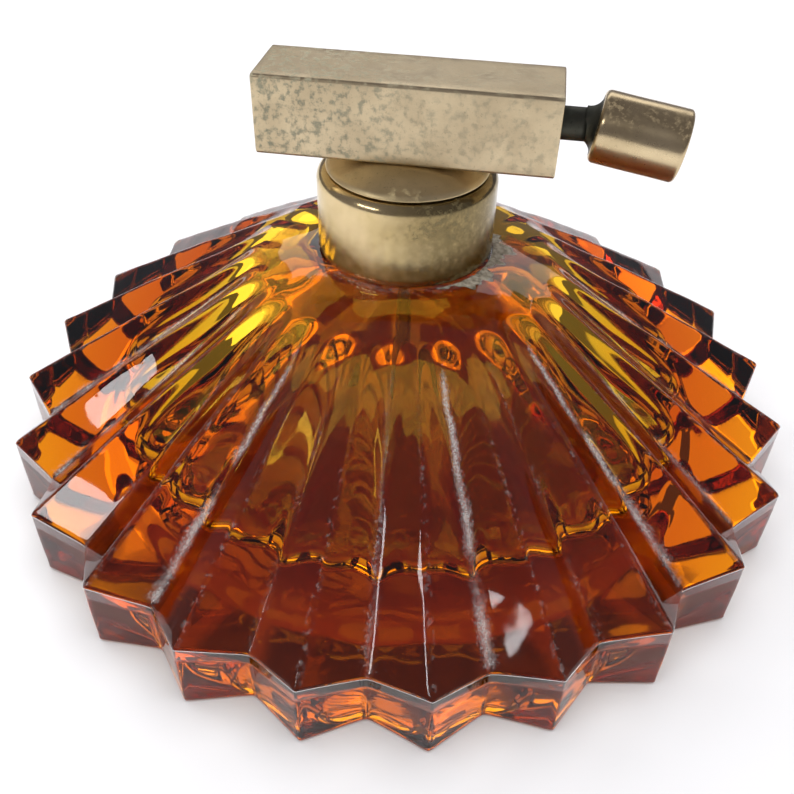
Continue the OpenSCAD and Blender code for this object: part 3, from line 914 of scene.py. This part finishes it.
def threaded(name, inner_r, outer_r, low, high, cut_outside):
    """A ring whose outer (or inner) wall carries a rounded helical thread cut into it."""
    pitch, depth = 2.0 * MM, 0.22 * MM
    segments, steps = 144, 72
    plain, fade = 0.6 * MM, 0.8 * MM
    grooves_from, grooves_to = low + plain, high - plain

    def groove(z, a):
        turn = (z / pitch - a / (2 * math.pi)) % 1.0
        shape = 0.5 - 0.5 * math.cos(2 * math.pi * turn)
        fade_in = min(max((z - grooves_from) / fade, 0), 1)
        fade_out = min(max((grooves_to - z) / fade, 0), 1)
        return depth * shape * fade_in * fade_out

    rows = []

    def wall(radius, sign, order):
        """Rings of one wall; sign says which way its grooves go, 0 for none."""
        for k in order:
            z = low + (high - low) * k / steps
            row = []
            for j in range(segments):
                a = 2 * math.pi * j / segments
                r = radius + (sign * groove(z, a) if sign else 0)
                row.append((r * math.cos(a), r * math.sin(a), z))
            rows.append(row)

    wall(outer_r, -1 if cut_outside else 0, range(steps + 1))
    wall(inner_r, 0 if cut_outside else 1, range(steps, -1, -1))
    rows.append(rows[0])
    verts, faces = rows_to_mesh(rows)
    piece = piece_from(name, verts, faces, DARK)
    weld(piece)
    outward(piece)
    return piece


def build_threads():
    """The cemented ring's outer thread and the collar's inner thread."""
    bore = NECK_R + 0.4 * MM
    crest_r = ring_high.x
    male = threaded("neck_ring_thread", bore, crest_r, ring_low.z, ring_high.z, True)
    stands_for(male, "bottle", "dark_brass", "neck_ring")
    inner_r = crest_r + 0.05 * MM
    outer_r = screw_high.x
    female = threaded("screw_ring_thread", inner_r, outer_r, screw_low.z, screw_high.z, False)
    stands_for(female, "collar", "dark_brass", "screw_ring")


def coil_spring(name, x0, x1, coil_r, wire_r, turns):
    """Round wire wound about X between x0 and x1, with a closed flat turn at each end."""
    around, per_turn = 10, 40
    count = int(turns * per_turn)
    dead = 0.75
    verts, faces = [], []
    for i in range(count + 1):
        turn = turns * i / count
        live = min(max((turn - dead) / (turns - 2 * dead), 0), 1)
        x = x0 + (x1 - x0) * live
        a = 2 * math.pi * turn
        centre = Vector((x, coil_r * math.cos(a), AXIS_Z + coil_r * math.sin(a)))
        out = Vector((0, math.cos(a), math.sin(a)))
        for k in range(around):
            b = 2 * math.pi * k / around
            sideways = Vector((wire_r * math.sin(b), 0, 0))
            verts.append(centre + out * wire_r * math.cos(b) + sideways)
    for i in range(count):
        for k in range(around):
            a, b = i * around + k, i * around + (k + 1) % around
            faces.append((a, b, b + around, a + around))
    faces.append(tuple(range(around)))
    faces.append(tuple(range(count * around + around - 1, count * around - 1, -1)))
    piece = piece_from(name, verts, faces, STEEL)
    outward(piece)
    return piece


def build_springs():
    """Return spring and outlet spring."""
    for node, joint, travel, turns, wire in (
        ("return_spring", "plunger_press", 2.4 * MM, 9.5, 0.22 * MM),
        ("outlet_spring", "outlet_valve", 0.4 * MM, 6.5, 0.12 * MM),
    ):
        low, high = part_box(node)
        coil_r = (high.y - low.y) / 2 - wire
        piece = coil_spring(node + "_wire", low.x + wire, high.x - wire, coil_r, wire, turns)
        stands_for(piece, "head", "steel", node)
        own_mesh(piece)


def build_deposit():
    """Pale crust of old cement and grime on the glass beside the collar's right side."""
    crust = soft_matter("crust", (0.16, 0.13, 0.09), (0.46, 0.41, 0.32), 1400, 0.85, 0.0001)
    rings, spokes = 14, 150
    start, end = math.radians(-62), math.radians(52)
    inner, spread = SHOULDER_R + 0.12 * MM, 3.2 * MM
    sunk, rooted = 0.02 * MM, 0.05 * MM
    verts = []
    for lower in (False, True):
        for i in range(rings + 1):
            for j in range(spokes + 1):
                a = start + (end - start) * j / spokes
                t = i / rings
                ragged = 0.55 + 0.25 * math.sin(9 * a + 1)
                ragged += 0.2 * math.sin(23 * a) + 0.12 * math.sin(57 * a)
                fade = math.sin(math.pi * j / spokes) ** 0.6
                r = inner + spread * max(ragged, 0.12) * fade * t + 0.02 * MM
                ground = float(top_height(np.array(r), np.array(a)))
                lumps = 0.5 + 0.5 * math.sin(41 * a + 5 * t) * math.cos(17 * a - 9 * t)
                thick = (0.03 + 0.16 * lumps) * MM * (1 - t) ** 0.7 * fade
                z = ground - rooted if lower else ground - sunk + thick
                verts.append((r * math.cos(a), r * math.sin(a), z))
    width = spokes + 1
    layer = width * (rings + 1)
    faces = []
    for i in range(rings):
        for j in range(spokes):
            k = i * width + j
            faces.append((k, k + 1, k + width + 1, k + width))
            k += layer
            faces.append((k, k + width, k + width + 1, k + 1))
    border = list(range(spokes))
    border += [i * width + spokes for i in range(rings)]
    border += [rings * width + j for j in range(spokes, 0, -1)]
    border += [i * width for i in range(rings, 0, -1)]
    for n, k in enumerate(border):
        m = border[(n + 1) % len(border)]
        faces.append((k, k + layer, m + layer, m))
    piece = piece_from("collar_crust", verts, faces, crust)
    outward(piece)
    return stands_for(piece, "bottle", "cement")


# ---------- stage, light and camera ----------


def build_stage():
    """Pale floor, a hair below the base so that the two never share a plane."""
    floor_mat = Shade("floor")
    floor_mat.set(Base_Color=(0.86, 0.86, 0.87, 1), Roughness=0.6)
    reach, level = 3.0, -0.1 * MM
    verts = [(x * reach, y * reach, level) for x, y in ((-1, -1), (1, -1), (1, 1), (-1, 1))]
    floor = piece_from("floor", verts, [(0, 1, 2, 3)], floor_mat.mat)


def area_light(name, place, aim_z, size, power, mirrored=True):
    """A soft light aimed at a height on the Z axis; mirrored lets its shape show in gloss."""
    lamp = bpy.data.lights.new(name, "AREA")
    lamp.shape = "RECTANGLE"
    lamp.size, lamp.size_y = size
    lamp.energy = power
    holder = bpy.data.objects.new(name, lamp)
    bpy.context.scene.collection.objects.link(holder)
    holder.location = place
    holder.visible_glossy = mirrored
    aim = Vector((0, 0, aim_z)) - Vector(place)
    holder.rotation_euler = aim.to_track_quat("-Z", "Y").to_euler()


def build_light():
    """Plain studio: a dim room, a slim window, a back wall, a skylight and a ceiling."""
    world = bpy.data.worlds.new("studio")
    bpy.context.scene.world = world
    world.use_nodes = True
    back = world.node_tree.nodes["Background"]
    back.inputs["Color"].default_value = (0.93, 0.90, 1.0, 1)
    back.inputs["Strength"].default_value = 0.2
    area_light("window", (-0.69, -0.645, 0.76), 0.02, (0.5, 0.1), 1.5)
    area_light("back_wall", (0.0, 1.15, 0.85), 0.03, (1.5, 0.5), 3)
    area_light("skylight", (-0.8, 0.65, 0.7), 0.03, (1.3, 0.9), 7, mirrored=False)
    area_light("ceiling", (0.1, -0.1, 1.3), 0.03, (1.6, 1.6), 20, mirrored=False)


def build_camera():
    """The photograph's viewpoint: about 40 degrees down, with a slight roll."""
    lens = bpy.data.cameras.new("camera")
    lens.sensor_width = 36
    lens.lens = 39.68
    lens.clip_start = 0.005
    camera = bpy.data.objects.new("camera", lens)
    bpy.context.scene.collection.objects.link(camera)
    turn, down, roll = math.radians(7.76), math.radians(40.23), math.radians(1.65)
    level = math.cos(down)
    forward = Vector((-math.sin(turn) * level, math.cos(turn) * level, -math.sin(down)))
    right = Vector((math.cos(turn), math.sin(turn), 0))
    up = right.cross(forward)
    rolled_right = right * math.cos(roll) + up * math.sin(roll)
    rolled_up = up * math.cos(roll) - right * math.sin(roll)
    place = Vector((13.39, -102.26, 92.23)) * MM
    pose = Matrix.Identity(4)
    for i, axis in enumerate((rolled_right, rolled_up, -forward)):
        pose[0][i], pose[1][i], pose[2][i] = axis
    camera.matrix_world = Matrix.Translation(place) @ pose
    bpy.context.scene.camera = camera


bpy.context.scene.view_settings.view_transform = "Standard"
build_camera()
dress_cad_nodes()
build_bottle()
build_collar()
build_turret()
build_housing()
build_knob()
build_rod()
build_threads()
build_springs()
build_deposit()
build_stage()
build_light()


def corners(box):
    return [[float(v) for v in corner] for corner in box]
